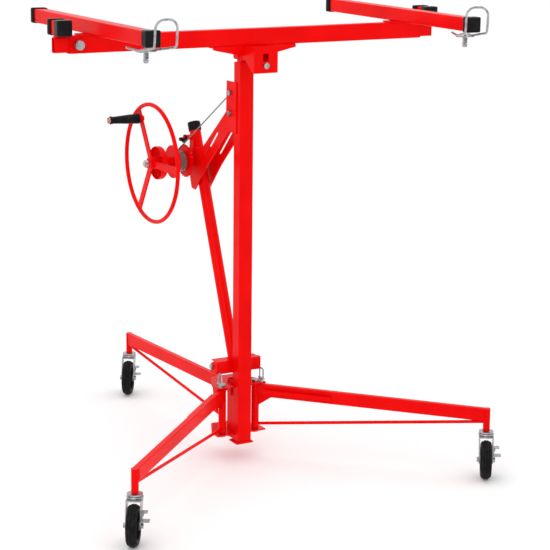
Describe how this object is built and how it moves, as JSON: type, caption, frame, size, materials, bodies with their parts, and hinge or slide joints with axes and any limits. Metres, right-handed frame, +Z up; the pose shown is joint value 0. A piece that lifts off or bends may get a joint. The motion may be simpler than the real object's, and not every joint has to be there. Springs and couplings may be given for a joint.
{
  "type": "drywall lift",
  "caption": "Folding tripod lift on swivel casters: a handwheel winch raises a telescoping mast whose tilting cradle holds a plasterboard sheet.",
  "frame": {"origin": "middle of the lift's footprint box, on the floor, mast down and legs open", "axes": "+Z up, +X along the cradle's main beam away from the handwheel, -Y the hook side"},
  "size_m": [1.2918, 1.4208, 1.4412],
  "materials": {
    "red_paint": "gloss powder coat",
    "zinc": "bright zinc plate",
    "black_plastic": "moulded",
    "black_grip": "moulded",
    "tyre": "ribbed tread",
    "wheel_core": "moulded",
    "nylon": "moulded",
    "wire_rope": "stranded galvanised wire",
    "bare_steel": "turned steel"
  },
  "bodies": {
    "base": {"mast_outer_tube": "red_paint", "mast_glides": "nylon", "lift_cable_anchor": "zinc", "winch_cable": "wire_rope", "winch_bracket_left": "red_paint", "winch_bracket_right": "red_paint", "frame_bolts": "zinc", "winch_post": "red_paint", "winch_post_cap": "black_plastic", "cross_channel": "red_paint", "winch_frame": "red_paint", "tripod_hub": "red_paint", "leg_hinge_pins": "zinc", "rear_leg": "red_paint"},
    "upper_pulley": {"top_pulley": "bare_steel"},
    "winch": {"winch_shaft": "bare_steel", "cable_drum": "red_paint", "drum_cable_turns": "wire_rope", "brake_cup": "red_paint", "handwheel": "red_paint"},
    "grip": {"crank_grip": "black_grip"},
    "pawl": {"ratchet_pawl": "black_plastic"},
    "middle_stage": {"mast_middle_tube": "red_paint", "lift_cable": "wire_rope"},
    "stage_pulley": {"middle_pulley": "bare_steel"},
    "inner_stage": {"mast_inner_tube": "red_paint", "mast_head": "red_paint"},
    "tilt_frame": {"tilt_channel": "red_paint", "cradle_bolts": "zinc"},
    "cradle": {"beam_saddle": "red_paint", "main_beam": "red_paint", "cross_arm_left": "red_paint", "cross_arm_right": "red_paint", "arm_caps": "black_plastic", "hook_bolts": "zinc", "hook_springs": "zinc"},
    "left_extension_slide": {"left_extension": "red_paint", "left_head_caps": "black_plastic"},
    "right_extension_slide": {"right_extension": "red_paint", "right_head_caps": "black_plastic"},
    "left_knob": {"left_clamp_knob": "zinc"},
    "right_knob": {"right_clamp_knob": "zinc"},
    "left_hook_arm": {"left_hook": "zinc"},
    "right_hook_arm": {"right_hook": "zinc"},
    "left_leg_arm": {"left_leg": "red_paint"},
    "right_leg_arm": {"right_leg": "red_paint"},
    "left_latch": {"left_leg_latch": "zinc"},
    "right_latch": {"right_leg_latch": "zinc"},
    "left_swivel": {"left_caster_fork": "zinc"},
    "left_wheel": {"left_caster_tyre": "tyre", "left_caster_rim": "wheel_core"},
    "left_foot_brake": {"left_caster_brake": "zinc"},
    "right_swivel": {"right_caster_fork": "zinc"},
    "right_wheel": {"right_caster_tyre": "tyre", "right_caster_rim": "wheel_core"},
    "right_foot_brake": {"right_caster_brake": "zinc"},
    "rear_swivel": {"rear_caster_fork": "zinc"},
    "rear_wheel": {"rear_caster_tyre": "tyre", "rear_caster_rim": "wheel_core"},
    "rear_foot_brake": {"rear_caster_brake": "zinc"}
  },
  "joints": [
    {"name": "mast_slide", "type": "slide", "parent": "base", "child": "middle_stage", "axis": [0, 0, 1], "range_m": [0, 1]},
    {"name": "inner_slide", "type": "slide", "parent": "middle_stage", "child": "inner_stage", "axis": [0, 0, 1], "range_m": [0, 1]},
    {"name": "winch_turn", "type": "hinge", "parent": "base", "child": "winch", "pos_m": [-0.11065, 0.14018, 0.912], "axis": [1, 0, 0], "range_deg": [-1915, 0]},
    {"name": "upper_pulley_turn", "type": "hinge", "parent": "base", "child": "upper_pulley", "pos_m": [0.00935, -0.11236, 1.155], "axis": [1, 0, 0], "range_deg": [-2870, 0]},
    {"name": "stage_pulley_turn", "type": "hinge", "parent": "middle_stage", "child": "stage_pulley", "pos_m": [0.00935, -0.12886, 1.287], "axis": [1, 0, 0], "range_deg": [-4410, 0]},
    {"name": "grip_spin", "type": "hinge", "parent": "winch", "child": "grip", "pos_m": [-0.23065, 0.21618, 1.04364], "axis": [1, 0, 0], "continuous": true},
    {"name": "pawl_lift", "type": "hinge", "parent": "base", "child": "pawl", "pos_m": [-0.05565, 0.14018, 0.986], "axis": [1, 0, 0], "range_deg": [0, 35]},
    {"name": "cradle_tilt", "type": "hinge", "parent": "inner_stage", "child": "tilt_frame", "pos_m": [0.00935, -0.23186, 1.275], "axis": [1, 0, 0], "range_deg": [0, 65]},
    {"name": "cradle_roll", "type": "hinge", "parent": "tilt_frame", "child": "cradle", "pos_m": [0.00935, -0.26786, 1.253], "axis": [0, 1, 0], "range_deg": [-10, 10]},
    {"name": "left_extension_pull", "type": "slide", "parent": "cradle", "child": "left_extension_slide", "axis": [-1, 0, 0], "range_m": [0, 0.4]},
    {"name": "right_extension_pull", "type": "slide", "parent": "cradle", "child": "right_extension_slide", "axis": [1, 0, 0], "range_m": [0, 0.4]},
    {"name": "left_knob_turn", "type": "hinge", "parent": "cradle", "child": "left_knob", "pos_m": [-0.55865, -0.21186, 1.331], "axis": [0, 1, 0], "range_deg": [-360, 360]},
    {"name": "right_knob_turn", "type": "hinge", "parent": "cradle", "child": "right_knob", "pos_m": [0.57735, -0.18186, 1.331], "axis": [0, 1, 0], "range_deg": [-360, 360]},
    {"name": "left_hook_swing", "type": "hinge", "parent": "cradle", "child": "left_hook_arm", "pos_m": [-0.50765, -0.55186, 1.346], "axis": [0, 0, 1], "range_deg": [-90, 90]},
    {"name": "right_hook_swing", "type": "hinge", "parent": "cradle", "child": "right_hook_arm", "pos_m": [0.52635, -0.55186, 1.346], "axis": [0, 0, 1], "range_deg": [-70, 110]},
    {"name": "left_leg_fold", "type": "hinge", "parent": "base", "child": "left_leg_arm", "pos_m": [-0.04915, -0.12742, 0.16], "axis": [0, 0, 1], "range_deg": [-108, 0]},
    {"name": "right_leg_fold", "type": "hinge", "parent": "base", "child": "right_leg_arm", "pos_m": [0.06786, -0.12742, 0.16], "axis": [0, 0, 1], "range_deg": [0, 108]},
    {"name": "left_latch_pull", "type": "slide", "parent": "base", "child": "left_latch", "axis": [0, 0, 1], "range_m": [0, 0.012], "stiffness_N_per_m": 300, "springref_m": -0.02},
    {"name": "right_latch_pull", "type": "slide", "parent": "base", "child": "right_latch", "axis": [0, 0, 1], "range_m": [0, 0.012], "stiffness_N_per_m": 300, "springref_m": -0.02},
    {"name": "left_caster_swivel", "type": "hinge", "parent": "left_leg_arm", "child": "left_swivel", "pos_m": [-0.58451, -0.62664, 0.14], "axis": [0, 0, 1], "continuous": true},
    {"name": "left_wheel_roll", "type": "hinge", "parent": "left_swivel", "child": "left_wheel", "pos_m": [-0.60411, -0.65683, 0.06], "axis": [0.8387, -0.5446, 0], "continuous": true},
    {"name": "left_brake_press", "type": "hinge", "parent": "left_swivel", "child": "left_foot_brake", "pos_m": [-0.58407, -0.6627, 0.09], "axis": [0.8387, -0.5446, 0], "range_deg": [0, 20]},
    {"name": "right_caster_swivel", "type": "hinge", "parent": "right_leg_arm", "child": "right_swivel", "pos_m": [0.60321, -0.62664, 0.14], "axis": [0, 0, 1], "continuous": true},
    {"name": "right_wheel_roll", "type": "hinge", "parent": "right_swivel", "child": "right_wheel", "pos_m": [0.58361, -0.65683, 0.06], "axis": [0.8387, -0.5446, 0], "continuous": true},
    {"name": "right_brake_press", "type": "hinge", "parent": "right_swivel", "child": "right_foot_brake", "pos_m": [0.60365, -0.6627, 0.09], "axis": [0.8387, -0.5446, 0], "range_deg": [0, 20]},
    {"name": "rear_caster_swivel", "type": "hinge", "parent": "base", "child": "rear_swivel", "pos_m": [0.00935, 0.68414, 0.14], "axis": [0, 0, 1], "continuous": true},
    {"name": "rear_wheel_roll", "type": "hinge", "parent": "rear_swivel", "child": "rear_wheel", "pos_m": [-0.01025, 0.65395, 0.06], "axis": [0.8387, -0.5446, 0], "continuous": true},
    {"name": "rear_brake_press", "type": "hinge", "parent": "rear_swivel", "child": "rear_foot_brake", "pos_m": [0.00979, 0.64809, 0.09], "axis": [0.8387, -0.5446, 0], "range_deg": [0, 20]}
  ],
  "couplings": [
    {"joint": "inner_slide", "follows": "mast_slide", "ratio": 1},
    {"joint": "winch_turn", "follows": "mast_slide", "rad_per_m": -33.333},
    {"joint": "upper_pulley_turn", "follows": "mast_slide", "rad_per_m": -50},
    {"joint": "stage_pulley_turn", "follows": "mast_slide", "rad_per_m": -76.923}
  ]
}
